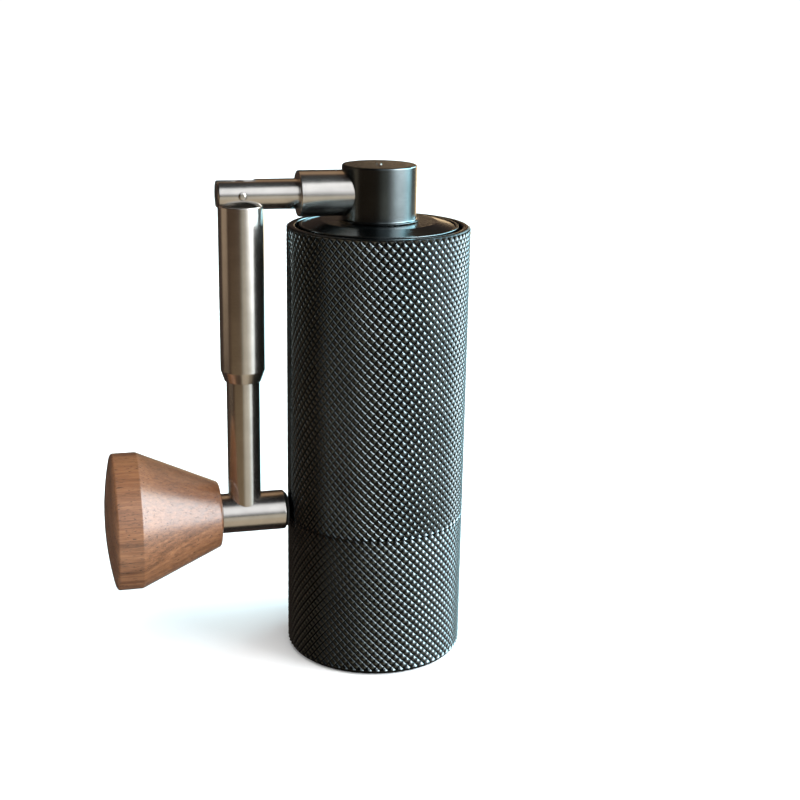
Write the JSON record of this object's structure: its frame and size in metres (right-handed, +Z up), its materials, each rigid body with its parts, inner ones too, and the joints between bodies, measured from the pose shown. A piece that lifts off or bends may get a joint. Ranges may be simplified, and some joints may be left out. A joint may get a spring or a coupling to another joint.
{
  "type": "hand crank coffee grinder",
  "caption": "Slim cylindrical hand coffee grinder with a knurled metal body, screw-on catch cup, lift-off lid and a folding crank with a turned wooden knob.",
  "frame": {"origin": "centre of the catch cup's flat base, on the drive shaft's axis", "axes": "+Z up along the drive shaft; -X towards the folded crank arm and knob"},
  "size_m": [0.093, 0.046, 0.1274],
  "materials": {
    "anodised": "dark grey anodised, diamond knurl",
    "anodised_smooth": "dark grey anodised, satin",
    "steel": "brushed stainless",
    "burr_steel": "ground tool steel",
    "spring_steel": "drawn wire and sheet",
    "aluminium": "as turned",
    "walnut": "turned walnut, oiled",
    "brass": "turned",
    "rubber": "matt",
    "nylon": "matt"
  },
  "bodies": {
    "body": {"body_shell": "anodised", "burr_housing": "aluminium", "burr_retaining_ring": "aluminium", "outer_burr": "burr_steel", "lower_bearing_outer_race": "steel", "lower_bearing_balls_and_cage": "steel", "upper_bearing_bridge": "nylon", "upper_bearing_outer_race": "steel", "upper_bearing_balls_and_cage": "steel", "bridge_snap_ring": "spring_steel", "cup_seal_ring": "rubber"},
    "cup": {"catch_cup": "anodised"},
    "shaft": {"drive_shaft": "steel", "lower_bearing_inner_race": "steel", "upper_bearing_inner_race": "steel", "upper_circlip": "spring_steel", "lower_circlip": "spring_steel", "spring_seat_washer": "steel", "burr_spring": "spring_steel", "shaft_end_clip": "spring_steel"},
    "burr": {"inner_burr": "burr_steel"},
    "dial": {"adjustment_dial": "nylon", "click_ball": "steel", "click_spring": "spring_steel"},
    "lid": {"lid": "anodised_smooth", "lid_seal_ring": "rubber", "lid_bush": "nylon"},
    "crank": {"crank_hub": "anodised_smooth", "hub_circlip": "spring_steel", "crank_collar": "steel", "crank_rod": "steel", "rod_lock_pin": "steel", "fold_pivot_pin": "steel"},
    "arm": {"arm_rod": "steel", "cross_rod": "steel", "bumper_pad": "rubber", "knob_spindle": "steel", "spindle_clip": "spring_steel", "knob_thrust_washer": "brass"},
    "sleeve": {"locking_sleeve": "steel", "sleeve_friction_ring": "rubber"},
    "knob": {"knob": "walnut", "knob_bush": "brass"}
  },
  "joints": [
    {"name": "cup_pull", "type": "slide", "parent": "body", "child": "cup", "axis": [0, 0, -1], "range_m": [0, 0.045]},
    {"name": "lid_lift", "type": "slide", "parent": "body", "child": "lid", "axis": [0, 0, 1], "range_m": [0, 0.04]},
    {"name": "crank_turn", "type": "hinge", "parent": "lid", "child": "crank", "pos_m": [0, 0, 0.12045], "axis": [0, 0, 1], "continuous": true},
    {"name": "arm_fold", "type": "hinge", "parent": "crank", "child": "arm", "pos_m": [-0.0345, 0, 0.12045], "axis": [0, 1, 0], "range_deg": [0, 90]},
    {"name": "sleeve_slide", "type": "slide", "parent": "arm", "child": "sleeve", "axis": [0, 0, -1], "range_m": [0, 0.0295]},
    {"name": "knob_spin", "type": "hinge", "parent": "arm", "child": "knob", "pos_m": [-0.055, 0, 0.03864], "axis": [-1, 0, 0], "continuous": true},
    {"name": "shaft_turn", "type": "hinge", "parent": "body", "child": "shaft", "pos_m": [0, 0, 0.073], "axis": [0, 0, 1], "continuous": true},
    {"name": "burr_gap", "type": "slide", "parent": "shaft", "child": "burr", "axis": [0, 0, -1], "range_m": [0, 0.0015], "deforming": ["burr_spring"]},
    {"name": "dial_turn", "type": "hinge", "parent": "burr", "child": "dial", "pos_m": [0, 0, 0.0335], "axis": [0, 0, 1], "range_deg": [0, 720]}
  ],
  "couplings": [
    {"joint": "shaft_turn", "follows": "crank_turn", "ratio": 1},
    {"joint": "dial_turn", "follows": "burr_gap", "rad_per_m": 8377.5},
    {"joint": "arm_fold", "follows": "sleeve_slide", "rad_per_m": 53.24}
  ]
}
